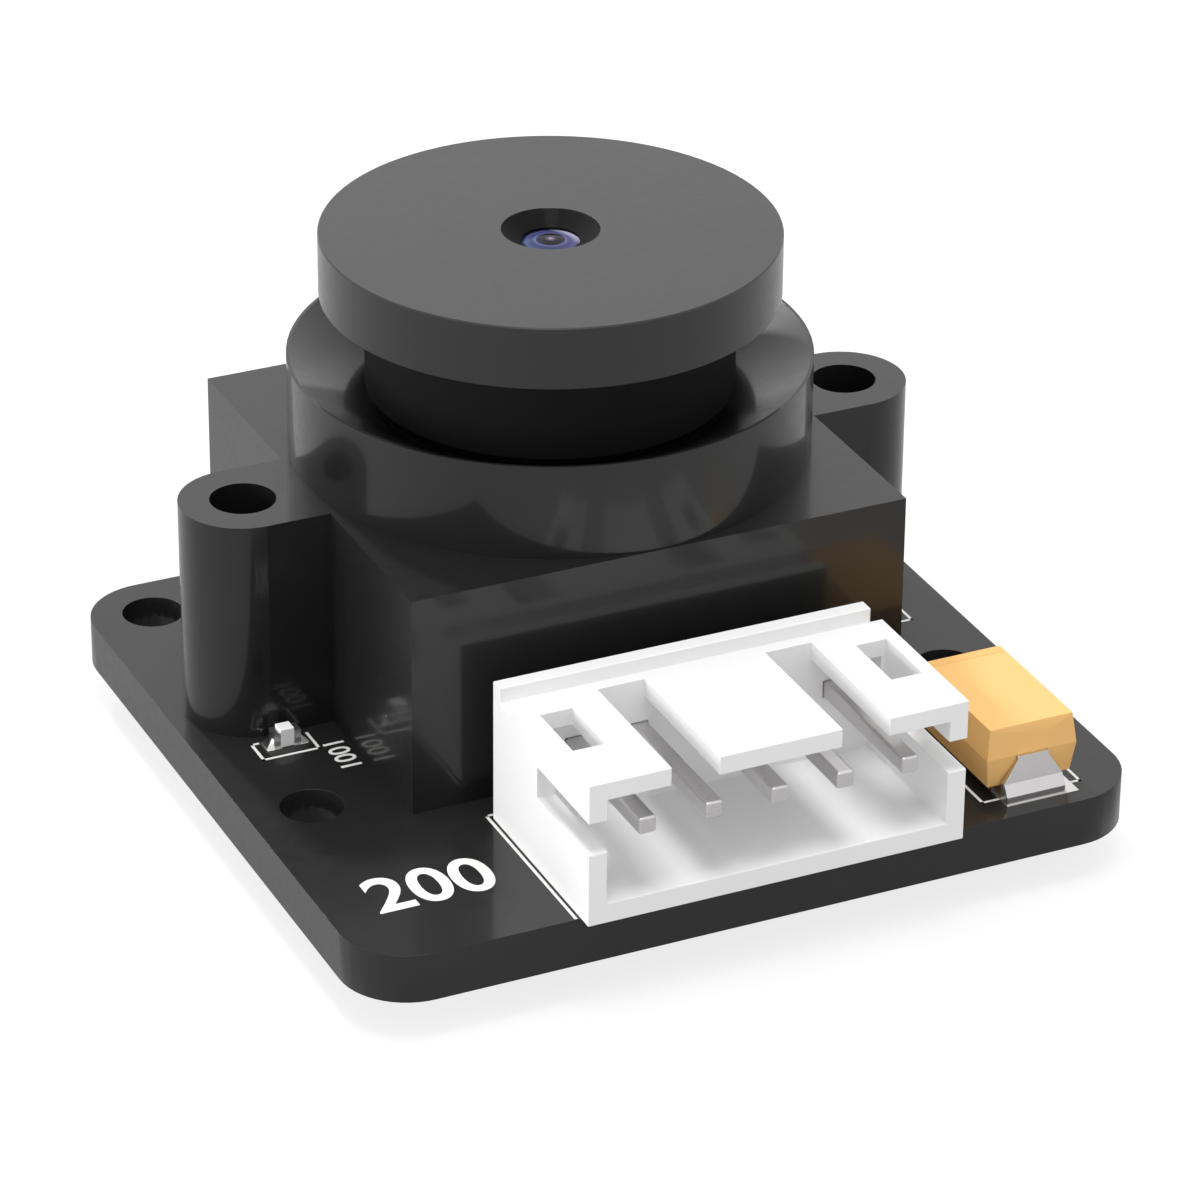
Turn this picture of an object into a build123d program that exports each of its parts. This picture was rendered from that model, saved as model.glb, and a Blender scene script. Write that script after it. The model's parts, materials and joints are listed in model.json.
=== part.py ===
from build123d import *
from math import sqrt
import os

# Camera module: a lens holder, a wire socket and small parts on a circuit board.
# Millimetres. The origin is on the lens axis, in the plane of the board's underside.
# +Z runs out of the lens and -Y towards the socket.

# How far a cut runs past the faces it opens, and a joined piece into its neighbour
overrun = 1.0

# Circuit board
board_width = 30.0
board_front = 18.35
board_back = 10.4
board_thickness = 1.85
board_corner_radius = 2.5
mount_hole_radius = 1.15
mount_side_margin = 2.4
mount_back_margin = 2.3
mount_spacing_y = 15.7

# Lens holder
holder_width = 19.2
holder_height = 8.45
holder_wall = 1.5
ear_offset = 12.0
ear_radius = 2.33
ear_bore_radius = 1.2
collar_radius = 9.53
collar_height = 3.6
collar_land = 0.12
funnel_foot_radius = 6.42
funnel_depth = 1.72
deck_underside = 4.7
deck_thickness = 1.1
filter_window = 7.0

# Lens barrel
cap_radius = 8.33
cap_thickness = 2.37
cap_edge = 0.05
cap_top = 18.63
neck_radius = 6.7
neck_taper = 0.45
neck_clearance = 0.15
thread_radius = 5.95
thread_gap = 0.05
barrel_end = 7.0
mouth_radius = 1.8
stop_radius = 1.06
mouth_depth = 0.44
front_shoulder = 18.1
front_bore_radius = 2.5
rear_shoulder = 14.0
rear_bore_radius = 3.7

# Lens stack, from the cap down, as heights along the lens axis
optic_gap = 0.04
front_lens_bottom = 16.8
iris_bottom = 16.6
middle_lens_bottom = 15.4
inner_lens_bottom = 12.4
rear_spacer_bottom = 10.2
rear_lens_bottom = 8.4
retainer_bottom = 7.5
retainer_slot = 0.7
spacer_wall = 0.5
iris_opening = 0.9
lens_face_small = 1.03
lens_face_mouth = 1.7
lens_face_wide = 2.9
front_lens_rise = 0.14
front_lens_hollow = 0.45
middle_lens_rise = 0.4
inner_lens_rise = 0.45
rear_lens_rise = 0.6

# Filter and image sensor
filter_width = 8.8
filter_thickness = 0.35
filter_gap = 0.1
sensor_length = 6.6
sensor_width = 5.6
sensor_height = 0.5
glass_thickness = 0.4
glass_margin = 0.05

# Holder screws, driven up through the board
screw_radius = 1.12
screw_length = 6.0
screw_head_radius = 2.1
screw_head_height = 1.5
screw_recess_width = 0.6
screw_recess_length = 2.2
screw_recess_depth = 0.8
screw_hole_radius = 1.3

# Wire socket
socket_x = 0.05
socket_width = 14.4
socket_height = 5.5
socket_mouth = 18.95
socket_rear = 11.0
socket_side_wall = 0.7
socket_floor = 0.76
socket_roof = 0.69
cavity_rear = 12.97
slot_outer = 4.13
slot_inner = 2.33
window_inner = 5.46
window_outer = 6.68
window_rear = 13.8
window_front = 16.5
side_slot_bottom = 2.8
side_slot_top = 4.02
side_slot_rear = 14.7
groove_front = 12.46
groove_rear = 11.6
groove_depth = 0.6
channel_width = 0.9
channel_height = 4.3

# Contact pins
pin_count = 5
pin_pitch = 2.5
pin_width = 0.65
pin_height = 3.47
pin_bend_radius = 0.4
pin_fit = 0.01
pin_hole_radius = 0.5

# Tantalum capacitor
capacitor_side_margin = 4.12
capacitor_front = 17.04
capacitor_length = 5.36
capacitor_width = 3.3
capacitor_bulge = 0.14
capacitor_lift = 0.56
capacitor_height = 2.3
lead_top_width = 1.25
lead_width = 2.34
lead_sheet = 0.16
lead_reach = 0.28
lead_toe = 0.6
lead_toe_height = 0.32
lead_knee = 0.4
lead_heel = 0.75

# Light and chip resistor, one on each side of the holder
chip_inset = 0.2
chip_y = -3.08
chip_depth = 0.55
lamp_middle = 0.53
lamp_height = 0.71
chip_end = 0.25
chip_end_height = 0.6

# Parts under the board, and chip capacitors beside the image sensor
processor_width = 6.5
processor_height = 0.9
processor_place = (-5.2, 4.6)
memory_size = (4.0, 3.0, 0.6)
memory_place = (4.6, 5.6)
crystal_size = (3.2, 2.5, 0.7)
crystal_place = (4.2, 2.0)
crystal_lid_height = 0.45
crystal_lid_margin = 0.2
regulator_size = (2.9, 1.6, 1.0)
regulator_place = (-5.5, -5.0)
regulator_lift = 0.1
regulator_leg_width = 0.4
regulator_leg_pitch = 0.95
regulator_leg_sheet = 0.15
regulator_leg_reach = 0.6
chip_capacitor_length = 1.0
chip_capacitor_width = 0.5
chip_capacitor_height = 0.5
sensor_capacitor_x = 5.2
sensor_capacitor_y = 2.4
processor_capacitor_x = -9.6
processor_capacitor_y = 2.0
memory_capacitor_x = 0.6
memory_capacitor_y = 4.2
regulator_capacitor_x = -2.2
regulator_capacitor_y = -5.0
capacitor_pitch = 2.0

# Heights and places that follow from the sizes above
mount_spacing_x = board_width - 2 * mount_side_margin
mount_centre_y = board_back - mount_back_margin - mount_spacing_y / 2
capacitor_x = board_width / 2 - capacitor_side_margin
chip_x = ear_offset - chip_inset
holder_top = board_thickness + holder_height
collar_top = holder_top + collar_height
funnel_foot = collar_top - funnel_depth
bore_radius = thread_radius + thread_gap
cap_underside = cap_top - cap_thickness
neck_foot = funnel_foot + neck_clearance
deck_top = deck_underside + deck_thickness
filter_recess = filter_thickness
socket_top = board_thickness + socket_height
pin_level = board_thickness + pin_height
pin_drop = (groove_front + groove_rear) / 2
pin_offsets = [socket_x + (n - (pin_count - 1) / 2) * pin_pitch for n in range(pin_count)]


def block(size_x, size_y, size_z, x, y, base):
    """A box centred on x and y that stands on the height base."""
    return Pos(x, y, base + size_z / 2) * Box(size_x, size_y, size_z)


def span(x, y, z):
    """A box between two values along each axis."""
    size = [abs(pair[1] - pair[0]) for pair in (x, y, z)]
    middle = [(pair[1] + pair[0]) / 2 for pair in (x, y, z)]
    return Pos(*middle) * Box(*size)


def rod(radius, x, y, bottom, top):
    return Pos(x, y, (bottom + top) / 2) * Cylinder(radius, top - bottom)


def turned(points):
    """Revolves an outline of (radius, height) points about the lens axis."""
    outline = Polyline([(radius, 0, height) for radius, height in points], close=True)
    return revolve(make_face(outline.edges()), Axis.Z)


def cap_curve(clear_radius, rim, rise):
    """An arc of a circle centred on the lens axis, from the axis out to clear_radius."""
    radius = (clear_radius**2 + rise**2) / (2 * abs(rise))
    half = clear_radius / 2
    drop = radius - sqrt(radius**2 - half**2)
    side = 1 if rise > 0 else -1
    return ThreePointArc((0, 0, rim + rise), (half, 0, rim + rise - side * drop), (clear_radius, 0, rim))


def dome(clear_radius, rim, rise):
    """The solid between an arc turned about the lens axis and the plane of its rim."""
    arc = cap_curve(clear_radius, rim, rise)
    chord = Polyline((clear_radius, 0, rim), (0, 0, rim), (0, 0, rim + rise))
    return revolve(make_face([*arc.edges(), *chord.edges()]), Axis.Z)


def lens(rim_radius, top, bottom, clear_top=0, rise_top=0, clear_bottom=0, rise_bottom=0):
    """A lens with a flat rim. A side bulges with a positive rise and is hollow with a negative one."""
    body = rod(rim_radius, 0, 0, bottom, top)
    sides = ((clear_top, top, rise_top, 1), (clear_bottom, bottom, rise_bottom, -1))
    for clear, rim, rise, outward in sides:
        if rise > 0:
            body += dome(clear, rim, outward * rise)
        if rise < 0:
            body -= dome(clear, rim, outward * rise)
    return body


def ring(outer, inner, bottom, top):
    return turned([(inner, bottom), (outer, bottom), (outer, top), (inner, top)])


def circuit_board():
    plan = RectangleRounded(board_width, board_front + board_back, board_corner_radius)
    board = Pos(0, (board_back - board_front) / 2, 0) * extrude(plan, board_thickness)
    for side_x in (-1, 1):
        for side_y in (-1, 1):
            x = side_x * mount_spacing_x / 2
            y = mount_centre_y + side_y * mount_spacing_y / 2
            board -= rod(mount_hole_radius, x, y, -overrun, board_thickness + overrun)
        board -= rod(screw_hole_radius, side_x * ear_offset, 0, -overrun, board_thickness + overrun)
    for x in pin_offsets:
        board -= rod(pin_hole_radius, x, -pin_drop, -overrun, board_thickness + overrun)
    return board


def lens_holder():
    body = block(holder_width, holder_width, holder_height, 0, 0, board_thickness)
    for side in (-1, 1):
        x = side * ear_offset
        body += rod(ear_radius, x, 0, board_thickness, holder_top)
        body += block(ear_offset, 2 * ear_radius, holder_height, x / 2, 0, board_thickness)
    body += turned([
        (0, holder_top - overrun),
        (collar_radius, holder_top - overrun),
        (collar_radius, collar_top),
        (collar_radius - collar_land, collar_top),
        (funnel_foot_radius, funnel_foot),
        (0, funnel_foot),
    ])
    body -= rod(bore_radius, 0, 0, deck_top, funnel_foot + overrun)
    room = holder_width - 2 * holder_wall
    body -= block(room, room, deck_underside - board_thickness, 0, 0, board_thickness)
    recess = filter_width + 2 * filter_gap
    body -= block(recess, recess, filter_recess, 0, 0, deck_underside)
    body -= block(filter_window, filter_window, deck_thickness, 0, 0, deck_underside)
    ear_bore = (board_thickness - overrun, holder_top + overrun)
    for side in (-1, 1):
        body -= rod(ear_bore_radius, side * ear_offset, 0, *ear_bore)
    return body


def lens_barrel():
    """Cap, neck and threaded tube in one turned piece, bored in steps from the rear."""
    outside = [
        (mouth_radius, cap_top),
        (cap_radius - cap_edge, cap_top),
        (cap_radius, cap_top - cap_edge),
        (cap_radius, cap_underside + cap_edge),
        (cap_radius - cap_edge, cap_underside),
        (neck_radius, cap_underside),
        (neck_radius, neck_foot + neck_taper),
        (neck_radius - neck_taper, neck_foot),
        (thread_radius, neck_foot),
        (thread_radius, barrel_end),
    ]
    inside = [
        (rear_bore_radius, barrel_end),
        (rear_bore_radius, rear_shoulder),
        (front_bore_radius, rear_shoulder),
        (front_bore_radius, front_shoulder),
        (stop_radius, front_shoulder),
        (stop_radius, cap_top - mouth_depth),
    ]
    return turned(outside + inside)


def retaining_ring():
    """A ring screwed in from the rear, with two slots for a spanner."""
    outer = rear_bore_radius - optic_gap
    body = ring(outer, outer - 3 * spacer_wall, retainer_bottom, rear_lens_bottom)
    return body - block(2 * outer, retainer_slot, retainer_slot / 2, 0, 0, retainer_bottom)


def infrared_filter():
    return block(filter_width, filter_width, filter_thickness, 0, 0, deck_underside)


def image_sensor():
    return block(sensor_length, sensor_width, sensor_height, 0, 0, board_thickness)


def sensor_glass():
    length = sensor_length - 2 * glass_margin
    width = sensor_width - 2 * glass_margin
    return block(length, width, glass_thickness, 0, 0, board_thickness + sensor_height)


def holder_screws():
    """Two pan-head screws with a cross recess, driven up through the board into the ears."""
    screws = []
    for side in (-1, 1):
        x = side * ear_offset
        head_edge = screw_head_height / 3
        head = rod(screw_head_radius, x, 0, -screw_head_height, 0)
        head = chamfer(head.edges().sort_by(Axis.Z)[0], head_edge, head_edge)
        screw = head + rod(screw_radius, x, 0, 0, screw_length)
        for turn in (0, 90):
            bar = Rot(0, 0, turn) * Box(screw_recess_length, screw_recess_width, screw_recess_depth)
            screw -= Pos(x, 0, screw_recess_depth / 2 - screw_head_height) * bar
        screws.append(screw)
    return Compound(children=screws)


def wire_socket():
    """A side-entry shroud: open at the front, with keying slots, windows and a rear plate."""
    left = socket_x - socket_width / 2
    right = socket_x + socket_width / 2
    body = span((left, right), (-socket_mouth, -socket_rear), (board_thickness, socket_top))
    inner = socket_width / 2 - socket_side_wall
    floor = board_thickness + socket_floor
    roof = socket_top - socket_roof
    front = -socket_mouth - overrun
    body -= span((socket_x - inner, socket_x + inner), (front, -cavity_rear), (floor, roof))
    roof_z = (roof - overrun, socket_top + overrun)
    side_low = board_thickness + side_slot_bottom
    side_high = board_thickness + side_slot_top
    for side in (-1, 1):
        slot_x = (socket_x + side * slot_inner, socket_x + side * slot_outer)
        body -= span(slot_x, (front, -cavity_rear), roof_z)
        window_x = (socket_x + side * window_inner, socket_x + side * window_outer)
        body -= span(window_x, (-window_front, -window_rear), roof_z)
        outer = inner + socket_side_wall + overrun
        wall_x = (socket_x + side * (inner - overrun), socket_x + side * outer)
        body -= span(wall_x, (front, -side_slot_rear), (side_low, side_high))
    groove_x = (left - overrun, right + overrun)
    groove_z = (socket_top - groove_depth, socket_top + overrun)
    body -= span(groove_x, (-groove_front, -groove_rear), groove_z)
    channel_z = (board_thickness - overrun, board_thickness + channel_height)
    for x in pin_offsets:
        channel_x = (x - channel_width / 2, x + channel_width / 2)
        body -= span(channel_x, (-groove_front, -groove_rear), channel_z)
        half = pin_width / 2 + pin_fit
        hole_z = (pin_level - half, pin_level + half)
        body -= span((x - half, x + half), (-cavity_rear - overrun, -pin_drop), hole_z)
    return body


def contact_pin(x):
    """A square wire that runs back from the mouth and bends down through the board."""
    tip = (x, -socket_mouth, pin_level)
    bend = (x, -pin_drop, pin_level)
    end = (x, -pin_drop, -screw_head_height)
    path = FilletPolyline(tip, bend, end, radius=pin_bend_radius)
    section = Plane(origin=tip, z_dir=(0, 1, 0)) * Rectangle(pin_width, pin_width)
    return sweep(section, path)


def capacitor_lead(side):
    """A strip that leaves the body's end, widens down to its toe and turns under. Side 1 is the front."""
    end = capacitor_length / 2 + capacitor_bulge
    middle = board_thickness + capacitor_lift + capacitor_height / 2
    inner = end - 2 * lead_sheet
    outer = end + lead_reach - lead_sheet
    toe = capacitor_length / 2 + lead_toe
    knee = board_thickness + lead_toe_height + lead_knee
    sheet_top = board_thickness + lead_sheet
    outline = Polyline(
        (0, -inner, middle),
        (0, -outer, middle),
        (0, -outer - lead_sheet / 2, knee),
        (0, -toe, board_thickness + lead_toe_height),
        (0, -toe, board_thickness),
        (0, -end + lead_heel, board_thickness),
        (0, -end + lead_heel, sheet_top),
        (0, -outer + lead_sheet, sheet_top),
        (0, -outer + lead_sheet, middle - lead_sheet),
        (0, -inner, middle - lead_sheet),
        close=True,
    )
    strip = extrude(make_face(outline.edges()), lead_width / 2, both=True)
    face = Polyline(
        (-lead_top_width / 2, 0, middle + overrun),
        (lead_top_width / 2, 0, middle + overrun),
        (lead_top_width / 2, 0, middle - lead_sheet),
        (lead_width / 2, 0, knee),
        (lead_width / 2, 0, 0),
        (-lead_width / 2, 0, 0),
        (-lead_width / 2, 0, knee),
        (-lead_top_width / 2, 0, middle - lead_sheet),
        close=True,
    )
    strip &= extrude(make_face(face.edges()), 2 * capacitor_length, both=True)
    turn = 0 if side == 1 else 180
    return Pos(capacitor_x, -capacitor_front + capacitor_length / 2, 0) * Rot(0, 0, turn) * strip


def capacitor_body(leads):
    """A moulded block that bulges to a parting line at half height."""
    bottom = board_thickness + capacitor_lift
    centre = (capacitor_x, -capacitor_front + capacitor_length / 2)
    wide = (capacitor_width + 2 * capacitor_bulge, capacitor_length + 2 * capacitor_bulge)
    sections = [
        (bottom, capacitor_width, capacitor_length),
        (bottom + capacitor_height / 2, *wide),
        (bottom + capacitor_height, capacitor_width, capacitor_length),
    ]
    rectangles = [Pos(*centre, height) * Rectangle(width, length) for height, width, length in sections]
    body = loft(rectangles, ruled=True)
    for lead in leads:
        body -= lead
    return body


def chip_ends(x, height):
    """The two metal ends of a small chip part whose middle is lamp_middle wide."""
    offset = (lamp_middle + chip_end) / 2
    ends = []
    for end_x in (x - offset, x + offset):
        ends.append(block(chip_end, chip_depth, height, end_x, chip_y, board_thickness))
    return Compound(children=ends)


def hanging(size, place):
    """A box that hangs from the board's underside."""
    return block(size[0], size[1], size[2], place[0], place[1], -size[2])


def clock_crystal():
    """A ceramic base with a smaller metal lid."""
    length, width, height = crystal_size
    margin = 2 * crystal_lid_margin
    body = hanging((length, width, height - crystal_lid_height), crystal_place)
    lid = block(length - margin, width - margin, crystal_lid_height, *crystal_place, -height)
    return body + chamfer(lid.faces().sort_by(Axis.Z)[0].edges(), crystal_lid_margin / 2)


def regulator_leads():
    """Five gull legs, three on one side and two on the other."""
    width, depth, height = regulator_size
    edge = depth / 2
    level = -regulator_lift - height / 2
    foot = edge + regulator_leg_reach
    sheet = regulator_leg_sheet
    outline = Polyline(
        (0, edge, level),
        (0, edge + 2 * sheet, level),
        (0, edge + 2 * sheet, -sheet),
        (0, foot, -sheet),
        (0, foot, 0),
        (0, edge + sheet, 0),
        (0, edge + sheet, level + sheet),
        (0, edge, level + sheet),
        close=True,
    )
    leg = extrude(make_face(outline.edges()), regulator_leg_width / 2, both=True)
    legs = []
    for side, steps in ((0, (-1, 0, 1)), (180, (-1, 1))):
        for step in steps:
            place = Pos(regulator_place[0] + step * regulator_leg_pitch, regulator_place[1], 0)
            legs.append(place * Rot(0, 0, side) * leg)
    return Compound(children=legs)


def regulator_body():
    width, depth, height = regulator_size
    return block(width, depth, height, *regulator_place, -regulator_lift - height)


def chip_capacitors(places, base):
    pieces = []
    for x, y in places:
        pieces.append(
            block(chip_capacitor_width, chip_capacitor_length, chip_capacitor_height, x, y, base)
        )
    return Compound(children=pieces)


def sensor_capacitors():
    signs = [(-1, -1), (-1, 1), (1, -1), (1, 1)]
    places = [(side_x * sensor_capacitor_x, side_y * sensor_capacitor_y) for side_x, side_y in signs]
    return chip_capacitors(places, board_thickness)


def board_capacitors():
    places = [(regulator_capacitor_x, regulator_capacitor_y)]
    for x, y, count in (
        (processor_capacitor_x, processor_capacitor_y, 3),
        (memory_capacitor_x, memory_capacitor_y, 2),
    ):
        places += [(x, y + n * capacitor_pitch) for n in range(count)]
    return chip_capacitors(places, -chip_capacitor_height)


optic_radius = front_bore_radius - optic_gap
rear_optic_radius = rear_bore_radius - optic_gap
lead_front = capacitor_lead(1)
lead_back = capacitor_lead(-1)

nodes = {
    "circuit_board": circuit_board(),
    "lens_holder": lens_holder(),
    "lens_barrel": lens_barrel(),
    "front_lens": lens(
        optic_radius, front_shoulder, front_lens_bottom,
        lens_face_small, front_lens_rise, lens_face_mouth, -front_lens_hollow,
    ),
    "aperture_stop": ring(optic_radius, iris_opening, iris_bottom, front_lens_bottom),
    "middle_lens": lens(
        optic_radius, iris_bottom, middle_lens_bottom,
        clear_bottom=lens_face_mouth, rise_bottom=middle_lens_rise,
    ),
    "front_spacer": ring(optic_radius, optic_radius - spacer_wall, rear_shoulder, middle_lens_bottom),
    "inner_lens": lens(
        rear_optic_radius, rear_shoulder, inner_lens_bottom,
        clear_bottom=lens_face_wide, rise_bottom=inner_lens_rise,
    ),
    "rear_spacer": ring(
        rear_optic_radius, rear_optic_radius - spacer_wall,
        rear_spacer_bottom, inner_lens_bottom,
    ),
    "rear_lens": lens(
        rear_optic_radius, rear_spacer_bottom, rear_lens_bottom,
        lens_face_wide, rear_lens_rise,
    ),
    "retaining_ring": retaining_ring(),
    "infrared_filter": infrared_filter(),
    "image_sensor": image_sensor(),
    "sensor_glass": sensor_glass(),
    "holder_screws": holder_screws(),
    "socket_shroud": wire_socket(),
    "capacitor_lead_front": lead_front,
    "capacitor_lead_back": lead_back,
    "capacitor_body": capacitor_body([lead_front, lead_back]),
    "light_body": block(lamp_middle, chip_depth, lamp_height, -chip_x, chip_y, board_thickness),
    "light_ends": chip_ends(-chip_x, chip_end_height),
    "resistor_body": block(lamp_middle, chip_depth, chip_end_height, chip_x, chip_y, board_thickness),
    "resistor_ends": chip_ends(chip_x, chip_end_height),
    "image_processor": hanging((processor_width, processor_width, processor_height), processor_place),
    "memory_chip": hanging(memory_size, memory_place),
    "clock_crystal": clock_crystal(),
    "regulator_body": regulator_body(),
    "regulator_leads": regulator_leads(),
    "sensor_capacitors": sensor_capacitors(),
    "board_capacitors": board_capacitors(),
}
for number, x in enumerate(pin_offsets, start=1):
    nodes[f"contact_pin_{number}"] = contact_pin(x)

os.makedirs("parts", exist_ok=True)
for name, solid in nodes.items():
    export_step(solid, f"parts/{name}.step")
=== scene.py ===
# %% [markdown]
# # A camera module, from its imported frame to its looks
# The object is a small camera: a glossy black lens holder with a screwed-in barrel, a white wire
# socket, a moulded capacitor and a few tiny parts on a black circuit board 30 mm wide. The frame
# brings the real shapes in metres. This script adds finishes, print, pads and solder.

import json
import math

import bpy
from mathutils import Matrix, Vector


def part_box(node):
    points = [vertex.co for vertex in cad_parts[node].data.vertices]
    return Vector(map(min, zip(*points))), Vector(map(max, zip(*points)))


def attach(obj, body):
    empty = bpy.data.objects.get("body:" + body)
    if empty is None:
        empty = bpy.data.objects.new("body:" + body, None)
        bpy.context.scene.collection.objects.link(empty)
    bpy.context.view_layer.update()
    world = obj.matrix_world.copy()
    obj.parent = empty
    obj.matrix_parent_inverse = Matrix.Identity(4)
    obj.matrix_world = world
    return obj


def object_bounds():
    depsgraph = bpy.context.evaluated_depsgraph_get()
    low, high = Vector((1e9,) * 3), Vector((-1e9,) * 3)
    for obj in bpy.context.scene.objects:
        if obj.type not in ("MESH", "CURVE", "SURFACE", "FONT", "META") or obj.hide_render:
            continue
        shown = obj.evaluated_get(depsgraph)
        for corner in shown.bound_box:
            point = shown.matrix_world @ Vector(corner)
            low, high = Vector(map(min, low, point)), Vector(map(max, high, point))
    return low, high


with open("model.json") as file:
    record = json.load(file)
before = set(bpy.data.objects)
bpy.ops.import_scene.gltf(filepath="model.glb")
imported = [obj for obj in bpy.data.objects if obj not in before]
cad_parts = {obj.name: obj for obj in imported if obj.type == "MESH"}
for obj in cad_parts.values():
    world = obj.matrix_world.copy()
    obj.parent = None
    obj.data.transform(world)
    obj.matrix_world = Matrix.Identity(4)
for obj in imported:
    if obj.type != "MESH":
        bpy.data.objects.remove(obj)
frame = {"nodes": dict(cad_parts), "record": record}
size_before = [list(corner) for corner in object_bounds()]
nodes = frame["nodes"]
mm = 0.001
board_low, board_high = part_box("circuit_board")
board_top = board_high[2]
print("nodes:", len(nodes), "size before, m:", size_before)

# %% [markdown]
# ## Small tools for making pieces
# Every added piece starts as a primitive at its size and place. Its place is applied at once, so
# that the object stays at the origin and its points are in the frame's own metres.

# %% Small tools
def deselect():
    if bpy.context.object and bpy.context.object.mode != "OBJECT":
        bpy.ops.object.mode_set(mode="OBJECT")
    bpy.ops.object.select_all(action="DESELECT")


def settle(obj, name):
    """Names the object and applies its place, turn and size."""
    obj.name = name
    obj.data.name = name
    deselect()
    obj.select_set(True)
    bpy.context.view_layer.objects.active = obj
    bpy.ops.object.transform_apply(location=True, rotation=True, scale=True)
    return obj


def add_block(name, x, y, z):
    """A box between two values along each axis, in millimetres."""
    deselect()
    middle = [(pair[0] + pair[1]) / 2 * mm for pair in (x, y, z)]
    size = [abs(pair[1] - pair[0]) * mm for pair in (x, y, z)]
    bpy.ops.mesh.primitive_cube_add(size=1, location=middle)
    obj = bpy.context.object
    obj.scale = size
    return settle(obj, name)


def join(pieces, name):
    """Joins pieces that are one print or one kind of solder into one object."""
    deselect()
    for piece in pieces:
        piece.select_set(True)
    bpy.context.view_layer.objects.active = pieces[0]
    if len(pieces) > 1:
        bpy.ops.object.join()
    obj = bpy.context.object
    obj.name = name
    obj.data.name = name
    return obj


def finish_piece(obj, material):
    obj.data.materials.clear()
    obj.data.materials.append(material)
    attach(obj, "root")
    return obj


print("tools ready")

# %% [markdown]
# ## Finishes
# Each finish is a node material in object coordinates, so its grain is fixed to the part. A fine
# noise moves the colour and the gloss a little, and another one makes a shallow bump. Moulded
# plastic, solder mask, ceramic, plated metal and glass differ in how far each of these goes.

# %% Finish maker
def linear(hex_colour):
    """An sRGB colour such as 8080ff as scene-linear red, green, blue."""
    values = [int(hex_colour[i:i + 2], 16) / 255 for i in (0, 2, 4)]
    return [v / 12.92 if v <= 0.04045 else ((v + 0.055) / 1.055) ** 2.4 for v in values]


def object_place(tree):
    """Where a point lies in the part's own coordinates, in metres."""
    return tree.nodes.new("ShaderNodeTexCoord").outputs["Object"]


def place_along(tree, axis):
    """Where a point lies along X, Y or Z, in metres."""
    split = tree.nodes.new("ShaderNodeSeparateXYZ")
    tree.links.new(object_place(tree), split.inputs["Vector"])
    return split.outputs[axis]


def add_noise(tree, scale, detail):
    """Noise in object coordinates. Scale is in features per metre."""
    node = tree.nodes.new("ShaderNodeTexNoise")
    node.inputs["Scale"].default_value = scale
    node.inputs["Detail"].default_value = detail
    tree.links.new(object_place(tree), node.inputs["Vector"])
    return node.outputs["Fac"]


def add_range(tree, value, source, target):
    """Maps a value from one pair of limits to another."""
    node = tree.nodes.new("ShaderNodeMapRange")
    for socket, number in zip(("From Min", "From Max", "To Min", "To Max"), (*source, *target)):
        node.inputs[socket].default_value = number
    tree.links.new(value, node.inputs["Value"])
    return node.outputs["Result"]


def add_mix(tree, factor, first, second):
    """Mixes two colours. Each one is a list of numbers or another node's output."""
    node = tree.nodes.new("ShaderNodeMix")
    node.data_type = "RGBA"
    tree.links.new(factor, node.inputs["Factor"])
    for socket, colour in (("A", first), ("B", second)):
        if isinstance(colour, list):
            node.inputs[socket].default_value = [*colour, 1]
        else:
            tree.links.new(colour, node.inputs[socket])
    return node.outputs["Result"]


# Most of a noise's values lie between these two.
noise_middle = (0.3, 0.7)


def finish(name, colour, roughness, metallic=0.0, specular=0.5, coat=0.0, coat_roughness=0.05,
           grain=2500.0, spread=0.06, gloss_spread=0.03, bump=0.1, depth=0.000004):
    """A grained finish. Grain is in features per metre, and depth is the bump's, in metres.

    Spread is the share by which the colour moves, over patches eight times as broad as the grain.
    """
    material = bpy.data.materials.new(name)
    material.use_nodes = True
    tree = material.node_tree
    shader = tree.nodes["Principled BSDF"]
    base = linear(colour)
    light = [min(1.0, value * (1 + spread)) for value in base]
    dark = [value * (1 - spread) for value in base]
    broad = add_range(tree, add_noise(tree, grain / 8, 3.0), noise_middle, (0, 1))
    tree.links.new(add_mix(tree, broad, dark, light), shader.inputs["Base Color"])
    fine = add_noise(tree, grain, 4.0)
    gloss = (max(0.02, roughness - gloss_spread), roughness + gloss_spread)
    tree.links.new(add_range(tree, fine, noise_middle, gloss), shader.inputs["Roughness"])
    bumper = tree.nodes.new("ShaderNodeBump")
    bumper.inputs["Strength"].default_value = bump
    bumper.inputs["Distance"].default_value = depth
    tree.links.new(fine, bumper.inputs["Height"])
    tree.links.new(bumper.outputs["Normal"], shader.inputs["Normal"])
    shader.inputs["Metallic"].default_value = metallic
    shader.inputs["Specular IOR Level"].default_value = specular
    shader.inputs["Coat Weight"].default_value = coat
    shader.inputs["Coat Roughness"].default_value = coat_roughness
    return material


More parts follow.
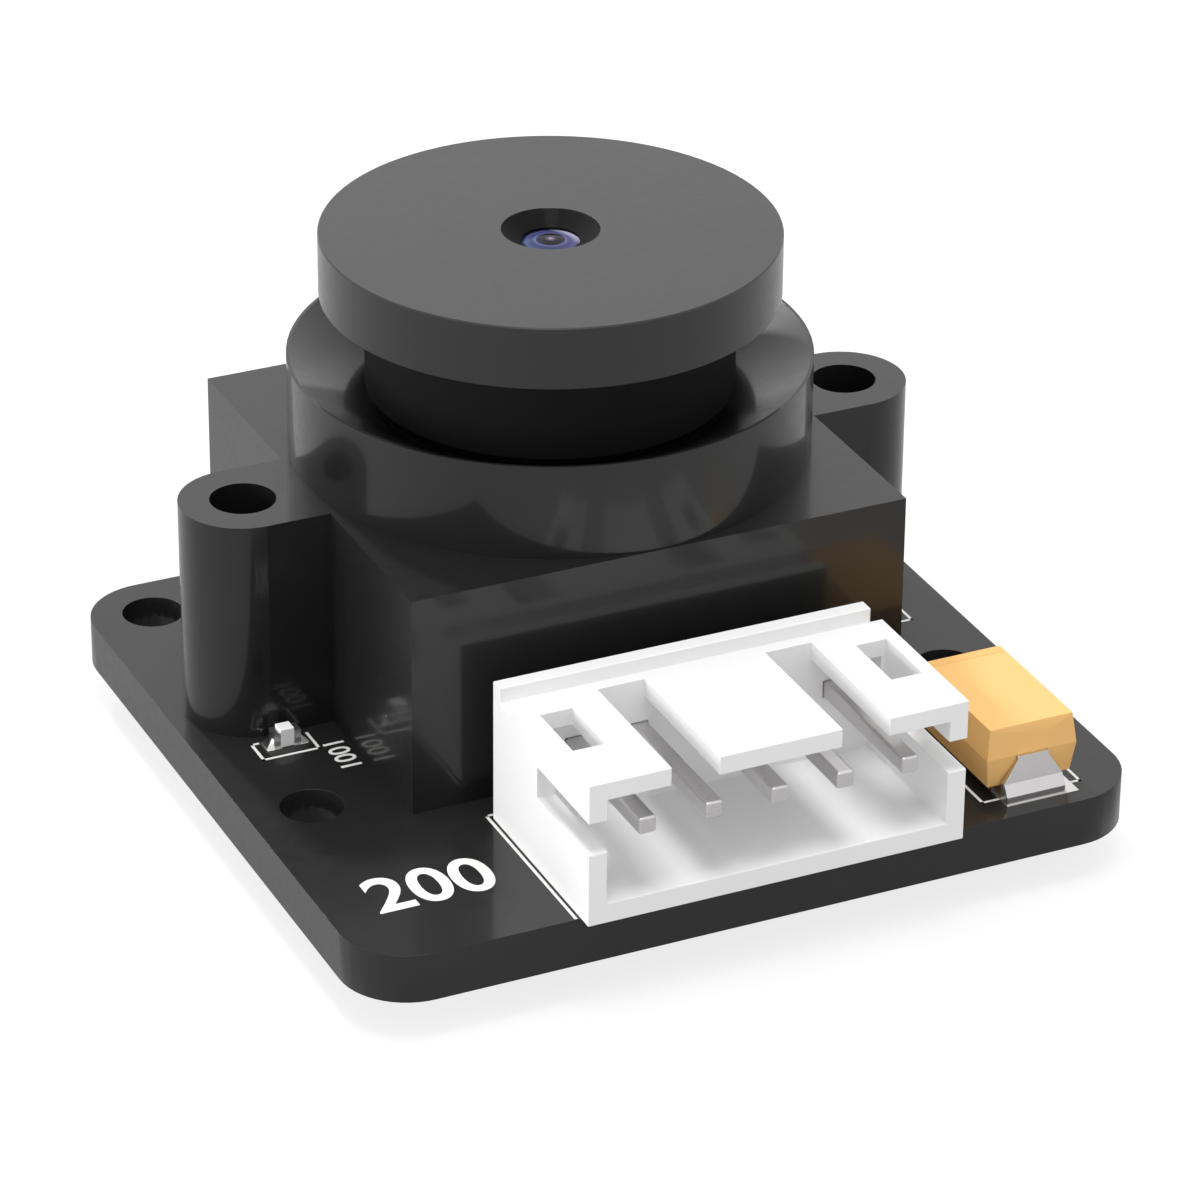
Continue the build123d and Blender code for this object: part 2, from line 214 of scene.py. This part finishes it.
barrel_specular, barrel_coat = 0.35, 0.4
finishes = {
    "solder_mask": finish(
        "solder_mask", "202020", 0.36, specular=0.2, coat=0.4, coat_roughness=0.08),
    "holder_black": finish(
        "holder_black", "1a1a1a", 0.34, specular=0.22, coat=0.5, coat_roughness=0.1),
    "barrel_black": finish(
        "barrel_black", "1c1c1c", 0.34, specular=barrel_specular, coat=barrel_coat, spread=0.03),
    "stop_black": finish("stop_black", "0c0c0c", 0.5),
    "spacer_metal": finish("spacer_metal", "9a9a9c", 0.35, metallic=1.0),
    "filter_glass": finish("filter_glass", "6fa8a0", 0.05, coat=1.0),
    "sensor_ceramic": finish("sensor_ceramic", "5a5a60", 0.4),
    "screw_steel": finish("screw_steel", "b8b8ba", 0.28, metallic=1.0),
    "socket_white": finish("socket_white", "f6f6f6", 0.4, spread=0.01),
    "tinned_metal": finish("tinned_metal", "d2d0d0", 0.3, metallic=1.0, spread=0.02, bump=0.03),
    "capacitor_yellow": finish("capacitor_yellow", "f2be74", 0.6, spread=0.02),
    "light_white": finish("light_white", "fafafa", 0.35, spread=0.02),
    "chip_black": finish("chip_black", "1e1e20", 0.45, bump=0.3),
    "crystal_metal": finish("crystal_metal", "c4c4c6", 0.3, metallic=1.0),
    "chip_tan": finish("chip_tan", "a88a62", 0.5),
}
print("finishes:", len(finishes))

# %% [markdown]
# ### Matt mouth and neck
# The inside of a lens mouth is matt black, so that light from the side doesn't glare into the
# picture, and the neck under the cap is duller than the cap. Inside the mouth the colour is also
# darkened, as painted shade deep in the mouth. The barrel is one turned piece, so the matt parts
# are chosen by distance from the axis and by height.

# %% Matt mouth and neck
matt_roughness = 0.7
mouth_radius = 1.79
cap_underside = 16.26


def distance_from_axis(tree):
    """Millimetres from the lens axis."""
    flat = tree.nodes.new("ShaderNodeVectorMath")
    flat.operation = "MULTIPLY"
    flat.inputs[1].default_value = (1000, 1000, 0)
    tree.links.new(object_place(tree), flat.inputs[0])
    length = tree.nodes.new("ShaderNodeVectorMath")
    length.operation = "LENGTH"
    tree.links.new(flat.outputs["Vector"], length.inputs[0])
    return length.outputs["Value"]


def larger(tree, first, second):
    node = tree.nodes.new("ShaderNodeMath")
    node.operation = "MAXIMUM"
    tree.links.new(first, node.inputs[0])
    tree.links.new(second, node.inputs[1])
    return node.outputs["Value"]


def dull_parts(material, radius, height, fade=0.01):
    """Dulls what lies inside a radius or below a height, and blackens the inside.

    All three are in millimetres. Fade is how far the change from dull to glossy reaches.
    """
    tree = material.node_tree
    shader = tree.nodes["Principled BSDF"]
    inside = add_range(tree, distance_from_axis(tree), (radius - fade, radius), (1, 0))
    colour = shader.inputs["Base Color"].links[0].from_socket
    # Besides being matt, the inside is darkened to near black, which paints the shade deep in the
    # mouth.
    tree.links.new(add_mix(tree, inside, colour, linear("060606")), shader.inputs["Base Color"])
    limits = ((height - fade) * mm, height * mm)
    dull = larger(tree, inside, add_range(tree, place_along(tree, "Z"), limits, (1, 0)))
    changes = {
        "Specular IOR Level": (barrel_specular, 0.1),
        "Coat Weight": (barrel_coat, 0.02),
    }
    for name, change in changes.items():
        tree.links.new(add_range(tree, dull, (0, 1), change), shader.inputs[name])
    rough = shader.inputs["Roughness"].links[0].from_socket
    matt = add_range(tree, dull, (0, 1), (0, matt_roughness))
    tree.links.new(larger(tree, rough, matt), shader.inputs["Roughness"])


dull_parts(finishes["barrel_black"], mouth_radius, cap_underside)
print("mouth and neck dulled")

# %% [markdown]
# ### Coated lens glass
# The front lens shows a violet reflection from its coating, a brighter ring where the curved
# glass meets its seat, and a dark middle down the barrel, where shade falls. Rings by distance
# from the lens axis paint these reflections and this shade into the colour, without a deep light
# path. A painted highlight lies on one side of the rim.

# %% Lens glass
ring_wobble = 0.05
# This points from the axis to the painted highlight on the rim. Its length of 1000 turns metres
# into millimetres.
painted_highlight_side = (957, 290, 0)
painted_highlight_reach, painted_highlight_strength = (0.6, 0.95), 0.55


def lens_glass():
    material = bpy.data.materials.new("optic_glass")
    material.use_nodes = True
    tree = material.node_tree
    shader = tree.nodes["Principled BSDF"]
    wobble = tree.nodes.new("ShaderNodeMath")
    wobble.operation = "MULTIPLY_ADD"
    wobble.inputs[1].default_value = ring_wobble
    tree.links.new(add_noise(tree, 1500, 2.0), wobble.inputs[0])
    tree.links.new(distance_from_axis(tree), wobble.inputs[2])
    # The rings are painted reflection from the coating and the seat, and painted shade in the
    # middle.
    painted_light_rings = {
        0.0: "c8bcc4", 0.12: "6a5c66", 0.24: "151519", 0.47: "15151b", 0.54: "33374e",
        0.58: "6c7496", 0.62: "505678", 0.72: "3e4260", 0.92: "545a80", 1.02: "2a2c40",
    }
    ramp = tree.nodes.new("ShaderNodeValToRGB")
    elements = ramp.color_ramp.elements
    while len(elements) < len(painted_light_rings):
        elements.new(0.5)
    for element, (position, colour) in zip(elements, painted_light_rings.items()):
        element.position = position
        element.color = [*linear(colour), 1]
    tree.links.new(wobble.outputs["Value"], ramp.inputs["Fac"])
    # The bluer left and pinker right side are a painted reflection of the coating.
    side = add_range(tree, place_along(tree, "X"), (-mm, mm), (0, 1))
    painted_reflection_tint = add_mix(tree, side, linear("d0e6ff"), linear("f4d8f4"))
    blend = tree.nodes.new("ShaderNodeMix")
    blend.data_type = "RGBA"
    blend.blend_type = "MULTIPLY"
    blend.inputs["Factor"].default_value = 1.0
    tree.links.new(ramp.outputs["Color"], blend.inputs["A"])
    tree.links.new(painted_reflection_tint, blend.inputs["B"])
    # A painted highlight on one side of the rim, in pale blue.
    painted_glint = tree.nodes.new("ShaderNodeVectorMath")
    painted_glint.operation = "DOT_PRODUCT"
    painted_glint.inputs[1].default_value = painted_highlight_side
    tree.links.new(object_place(tree), painted_glint.inputs[0])
    painted_rim_highlight = add_range(tree, painted_glint.outputs["Value"], painted_highlight_reach, (0, painted_highlight_strength))
    colour = add_mix(tree, painted_rim_highlight, blend.outputs["Result"], linear("d0d4f0"))
    tree.links.new(colour, shader.inputs["Base Color"])
    shader.inputs["Roughness"].default_value = 0.1
    shader.inputs["Specular IOR Level"].default_value = 0.12
    return material


finishes["optic_glass"] = lens_glass()
print("lens glass ready")

# %% Put the finishes on the frame's nodes
slots = {row["node"]: row["material_slot"] for row in frame["record"]["subparts"]}
for name, obj in nodes.items():
    for material_slot in obj.material_slots:
        material_slot.material = finishes[slots[name]]
print("nodes painted:", len(slots))

# %% [markdown]
# ### Rounded edges
# Moulded and stamped edges catch a thin line of light. A small bevel modifier on the frame's
# nodes rounds them with hardly a change of outline. The holder and the barrel have none, because
# it would bend the reflections on their curved faces.

# %% Edge rounding
weld_distance = 0.000001
sharp_angle = math.radians(35)
pin_edge_width = 0.1


def soften(name, width):
    """Joins points that faces share and rounds the sharp edges. Width is in millimetres."""
    weld = nodes[name].modifiers.new("weld", "WELD")
    weld.merge_threshold = weld_distance
    bevel = nodes[name].modifiers.new("edge", "BEVEL")
    bevel.width = width * mm
    bevel.segments = 3
    bevel.limit_method = "ANGLE"
    bevel.angle_limit = sharp_angle
    bevel.harden_normals = True


edge_widths = {
    "socket_shroud": 0.04, "capacitor_body": 0.05,
    "capacitor_lead_front": 0.03, "capacitor_lead_back": 0.03, "circuit_board": 0.01,
    "image_processor": 0.05, "memory_chip": 0.04, "light_body": 0.02, "resistor_body": 0.02,
}
pins = [name for name in sorted(nodes) if name.startswith("contact_pin")]
edge_widths.update({name: pin_edge_width for name in pins})
for name, width in edge_widths.items():
    soften(name, width)
print("edges softened")

# %% [markdown]
# ## Print on the board
# A board carries thin white print round its parts. It is screened on after the solder mask, so
# it stands up by about a hundredth of a millimetre. Each line is one thin block.

# %% Board print
sunk = 0.001
print_height = 0.012
print_z = (board_top / mm - sunk, board_top / mm + print_height)
line_width = 0.11


def line(name, start, end):
    """A straight printed line between two points, along x or along y."""
    half = line_width / 2
    x, y = ((min(pair) - half, max(pair) + half) for pair in zip(start, end))
    return add_block(name, x, y, print_z)


def outline(name, points):
    """A line along a row of points."""
    lines = [line(f"{name}_{n}", a, b) for n, (a, b) in enumerate(zip(points, points[1:]))]
    return join(lines, name)


line_end = board_low[1] / mm + 0.1
outlines = {
    "print_light": [
        (-10.82, -2.75), (-10.82, -3.92), (-12.95, -3.92), (-12.95, -2.75), (-12.42, -2.75)],
    "print_resistor": [
        (10.85, -2.75), (10.85, -4.0), (13.08, -4.0), (13.08, -2.75), (12.5, -2.75)],
    "print_socket_left": [(-7.3, line_end), (-7.3, -10.77), (-7.1, -10.77)],
    "print_socket_right": [(7.4, line_end), (7.4, -10.77), (7.2, -10.77)],
    "print_capacitor": [
        (9.04, -11.3), (9.04, -17.07), (12.94, -17.07), (12.94, -11.3), (9.04, -11.3)],
}
prints = [outline(name, points) for name, points in outlines.items()]
# A capital letter's share of the font's size
capital_share = 0.69


def number(text, height, place, turn, weight):
    """A plain printed number with its lower left corner at place.

    Height is that of a capital letter, and weight is by how much each stroke is widened, both in
    millimetres. Turn is in degrees.
    """
    deselect()
    bpy.ops.object.text_add(location=(0, 0, 0))
    obj = bpy.context.object
    obj.data.body = text
    obj.data.size = height * mm / capital_share
    obj.data.offset = weight * mm
    obj.data.extrude = print_height / 2 * mm
    bpy.ops.object.convert(target="MESH")
    obj = bpy.context.object
    obj.location = (place[0] * mm, place[1] * mm, board_top + print_height / 2 * mm)
    obj.rotation_euler = (0, 0, math.radians(turn))
    return settle(obj, "number_" + text)


prints.append(number("200", 2.15, (-13.28, -15.25), 0, 0.05))
prints.append(number("1001", 0.78, (-10.62, -3.55), -90, 0.01))
white_print = finish("print_white", "e9e9e6", 0.5, spread=0.04)
board_print = finish_piece(join(prints, "board_print"), white_print)
print("printed outlines:", len(outlines))

# %% [markdown]
# ## Solder
# Each soldered part stands on pads, and the solder climbs its ends in a slope. A pad is a thin
# block. A slope is a block whose top face is drawn in towards the part. On the far side of the
# board the solder makes a cone round each of the socket's tails.

# %% Pads and slopes of solder
pad_z = (board_top / mm - sunk, board_top / mm + 0.03)
# The shares of its length and width that the top of a slope keeps
slope_top = (0.1, 0.5, 1)


def wedge(name, x, y, z, anchor):
    """A block whose top face is drawn in along x towards the anchor, and along y to its middle."""
    obj = add_block(name, x, y, z)
    bpy.ops.object.mode_set(mode="EDIT")
    bpy.ops.mesh.select_mode(type="FACE")
    bpy.ops.mesh.select_all(action="DESELECT")
    bpy.ops.object.mode_set(mode="OBJECT")
    for polygon in obj.data.polygons:
        polygon.select = polygon.normal.z > 0.9
    bpy.ops.object.mode_set(mode="EDIT")
    middle = (anchor * mm, (y[0] + y[1]) / 2 * mm, z[1] * mm)
    bpy.ops.transform.resize(value=slope_top, center_override=middle)
    bpy.ops.object.mode_set(mode="OBJECT")
    return obj


pad_outward, pad_inward, pad_margin = 0.36, 0.27, 0.1
slope_inset, slope_margin = 0.05, 0.03
slope_z = (pad_z[1] - 0.005, pad_z[1] + 0.3)
solder = []
for name in ("light", "resistor"):
    low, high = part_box(f"{name}_ends")
    front, back = low[1] / mm, high[1] / mm
    pad_y = (front - pad_margin, back + pad_margin)
    slope_y = (front - slope_margin, back + slope_margin)
    for end, edge, way in (("a", low[0] / mm, -1), ("b", high[0] / mm, 1)):
        outer = edge + way * pad_outward
        pad_x = (outer, edge - way * pad_inward)
        slope_x = (outer - way * slope_inset, edge)
        solder.append(add_block(f"{name}_pad_{end}", pad_x, pad_y, pad_z))
        solder.append(wedge(f"{name}_slope_{end}", slope_x, slope_y, slope_z, edge))
capacitor_pad_x = (9.69, 12.57)
for name, pad_y in (("front", (-17.71, -15.9)), ("back", (-12.82, -11.01))):
    solder.append(add_block(f"capacitor_pad_{name}", capacitor_pad_x, pad_y, pad_z))
solder_metal = finish("solder_metal", "e2e0de", 0.2, metallic=1.0, spread=0.03, grain=1800.0)
solder_top = join(solder, "solder_top")
bpy.ops.object.shade_smooth_by_angle(angle=math.radians(70))
finish_piece(solder_top, solder_metal)
print("solder pieces on top:", len(solder))

# %% Solder cones under the socket
cone_tip_radius, cone_foot_radius, cone_height = 0.36 * mm, 0.85 * mm, 0.65 * mm
half_pin = 0.325 * mm
cones = []
for name in pins:
    low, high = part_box(name)
    deselect()
    bpy.ops.mesh.primitive_cone_add(
        vertices=48, radius1=cone_tip_radius, radius2=cone_foot_radius, depth=cone_height,
        location=((low[0] + high[0]) / 2, high[1] - half_pin, -cone_height / 2),
    )
    cones.append(settle(bpy.context.object, name + "_solder"))
solder_joints = join(cones, "solder_joints")
bpy.ops.object.shade_smooth_by_angle(angle=math.radians(40))
finish_piece(solder_joints, solder_metal)
print("solder cones:", len(cones))

# %% [markdown]
# ## Ends and pads of the parts under the board
# A chip capacitor is a tan ceramic block with a plated cap on each end. A flat chip package shows
# a row of plated pads along its edges.

# %% Plated ends and pads
half_length, half_width, chip_height = 0.5, 0.25, 0.5
chip_places = [(-9.6, 2.0), (-9.6, 4.0), (-9.6, 6.0), (0.6, 4.2), (0.6, 6.2), (-2.2, -5.0)]
plating, plated_length = 0.01, 0.24
plated = []
for x, y in chip_places:
    end_x = (x - half_width - plating, x + half_width + plating)
    for way in (-1, 1):
        end_y = (y + way * (half_length + plating), y + way * (half_length - plated_length))
        plated.append(add_block("plated_end", end_x, end_y, (-chip_height - plating, 0)))

pad_under, pad_beyond = 0.3, 0.12
low_pad_z = (-0.2, 0)


def edge_pads(node, count_x, count_y, pitch):
    """Plated pads along the edges of a flat chip package. Each is half as wide as their pitch."""
    low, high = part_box(node)
    left, front, right, back = low[0] / mm, low[1] / mm, high[0] / mm, high[1] / mm
    for n in range(count_x):
        x = (left + right) / 2 + (n - (count_x - 1) / 2) * pitch
        along = (x - pitch / 4, x + pitch / 4)
        for edge, way in ((front, -1), (back, 1)):
            across = (edge - way * pad_under, edge + way * pad_beyond)
            plated.append(add_block("plated_pad", along, across, low_pad_z))
    for n in range(count_y):
        y = (front + back) / 2 + (n - (count_y - 1) / 2) * pitch
        along = (y - pitch / 4, y + pitch / 4)
        for edge, way in ((left, -1), (right, 1)):
            across = (edge - way * pad_under, edge + way * pad_beyond)
            plated.append(add_block("plated_pad", across, along, low_pad_z))


edge_pads("image_processor", 12, 12, 0.45)
edge_pads("memory_chip", 6, 0, 0.55)
finish_piece(join(plated, "plated_pads"), solder_metal)
print("plated pieces:", len(plated))

# %% [markdown]
# ## Bar on the capacitor
# A moulded tantalum capacitor has a bar across its top at the positive end. It is a shallow step
# in the moulding, seen as one faint line.

# %% Capacitor bar
low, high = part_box("capacitor_body")
top = high[2] / mm
middle_x = (low[0] + high[0]) / 2 / mm
half_bar = 1.6
bar_y = (-12.12, -11.73)
bar_z = (top - 0.02, top + 0.012)
bar = add_block("capacitor_bar", (middle_x - half_bar, middle_x + half_bar), bar_y, bar_z)
bar_yellow = finish("bar_yellow", "ecb86e", 0.6, spread=0.02)
finish_piece(bar, bar_yellow)
print("bar at y, mm:", bar_y)

# %% [markdown]
# ## Floor, light and camera
# The photograph has a pure white ground and white surroundings. The floor glows, so it is white.
# To the camera it glows more and reflects less than to other rays. So the object's shadow on it
# is faint, and it still sends little light up to the object. The key lamp stands behind, a little
# to the left and 41 degrees up: the shadow of the left ear on the board gives that direction. A
# soft lamp overhead lifts the faces that look up, and one on the left lifts the socket's side.

# %% Floor and world
floor_z = size_before[0][2]
floor_gap = 0.00002
floor_shades = [0.34, 0.34, 0.34], [0.36, 0.36, 0.36]
shade_seen = [0.2, 0.2, 0.2]
glow, glow_seen = 0.2, 0.8
deselect()
bpy.ops.mesh.primitive_plane_add(size=4, location=(0, 0, floor_z - floor_gap))
floor = bpy.context.object
floor.name = "floor"
floor_material = bpy.data.materials.new("floor_white")
floor_material.use_nodes = True
tree = floor_material.node_tree
shader = tree.nodes["Principled BSDF"]
shader.inputs["Roughness"].default_value = 0.9
shader.inputs["Specular IOR Level"].default_value = 0.0
patches = add_mix(tree, add_noise(tree, 30, 2.0), *floor_shades)
shader.inputs["Emission Color"].default_value = (1, 1, 1, 1)
seen = tree.nodes.new("ShaderNodeLightPath").outputs["Is Camera Ray"]
tree.links.new(add_mix(tree, seen, patches, shade_seen), shader.inputs["Base Color"])
glow_for_ray = add_range(tree, seen, (0, 1), (glow, glow_seen))
tree.links.new(glow_for_ray, shader.inputs["Emission Strength"])
floor.data.materials.append(floor_material)

world = bpy.context.scene.world or bpy.data.worlds.new("world")
bpy.context.scene.world = world
world.use_nodes = True
tree = world.node_tree
tree.nodes.clear()
light_path = tree.nodes.new("ShaderNodeLightPath")
seen = light_path.outputs["Is Camera Ray"]
for ray in ("Is Glossy Ray", "Is Transmission Ray"):
    seen = larger(tree, seen, light_path.outputs[ray])
mix = tree.nodes.new("ShaderNodeMixShader")
tree.links.new(seen, mix.inputs["Fac"])
# The first strength lights the object, and the second is what the camera, metal and glass see.
for socket, strength in ((1, 0.75), (2, 1.0)):
    background = tree.nodes.new("ShaderNodeBackground")
    background.inputs["Color"].default_value = (1, 1, 1, 1)
    background.inputs["Strength"].default_value = strength
    tree.links.new(background.outputs["Background"], mix.inputs[socket])
tree.links.new(mix.outputs["Shader"], tree.nodes.new("ShaderNodeOutputWorld").inputs["Surface"])
print("floor at z, mm:", floor_z / mm)

# %% Lamps
lamp_target = Vector((0, 0, 0.006))


def lamp(name, place, size, power):
    """A round lamp that looks at the middle of the object. Place and size are in metres."""
    data = bpy.data.lights.new(name, "AREA")
    data.shape = "DISK"
    data.size = size
    data.energy = power
    obj = bpy.data.objects.new(name, data)
    bpy.context.scene.collection.objects.link(obj)
    obj.location = place
    obj.rotation_euler = (lamp_target - Vector(place)).to_track_quat("-Z", "Y").to_euler()
    return obj


lamp("key", (-0.04, 0.375, 0.334), 0.04, 1.0)
lamp("overhead", (-0.03, -0.05, 0.5), 0.25, 1.25)
side = lamp("side", (-0.5, 0.12, 0.05), 0.3, 2.3)
side.visible_glossy = False

# %% Camera solved from the photograph
yaw, pitch, roll = (math.radians(a) for a in (25.1484, -28.2557, 0.5267))
camera_place = (-0.07451, -0.16314, 0.09998)
focal_pixels, photo_pixels = 5506.637, 1200
camera_data = bpy.data.cameras.new("camera")
camera_data.sensor_width = 36
camera_data.lens = focal_pixels / photo_pixels * camera_data.sensor_width
camera_data.clip_start = 0.01
camera = bpy.data.objects.new("camera", camera_data)
bpy.context.scene.collection.objects.link(camera)
turn = Matrix.Rotation(-yaw, 4, "Z") @ Matrix.Rotation(math.pi / 2 + pitch, 4, "X")
turn = turn @ Matrix.Rotation(roll, 4, "Z")
camera.matrix_world = Matrix.Translation(camera_place) @ turn
bpy.context.scene.camera = camera
bpy.context.scene.view_settings.view_transform = "Standard"
print("camera lens, mm:", round(camera_data.lens, 3))
